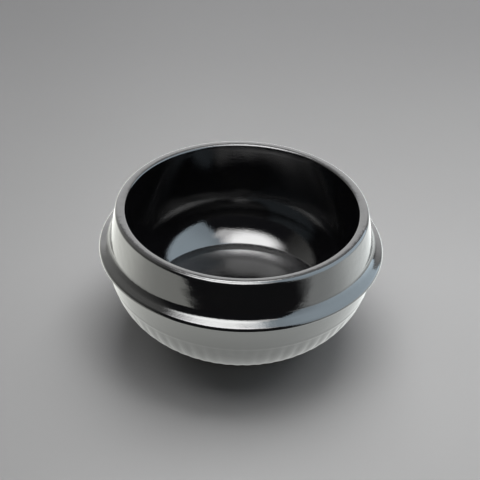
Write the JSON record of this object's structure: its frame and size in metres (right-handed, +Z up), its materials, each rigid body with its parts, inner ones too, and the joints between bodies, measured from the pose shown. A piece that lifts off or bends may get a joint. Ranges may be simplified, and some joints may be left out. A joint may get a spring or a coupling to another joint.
{
  "type": "ceramic stew bowl",
  "caption": "Thick round stew bowl of fired clay, black glazed inside and out, with a fluted belly, a sloping flange to lift it by, a straight collar and a flat lip.",
  "frame": {"origin": "middle of the foot, on the surface that the bowl stands on", "axes": "+Z up along the bowl's axis; X and Y are free because the bowl is round, with -Y towards the camera of the picture"},
  "size_m": [0.1648, 0.1648, 0.0772],
  "materials": {
    "bare_clay": "matt fired stoneware, warm grey, bare on the foot",
    "black_glaze_inside": "deep black gloss glaze",
    "black_glaze_outside": "deep black gloss glaze, slightly uneven, thin on the edges"
  },
  "bodies": {
    "root": {"clay_body": "bare_clay", "glaze_lining": "black_glaze_inside", "glaze_outside": "black_glaze_outside"}
  },
  "joints": []
}
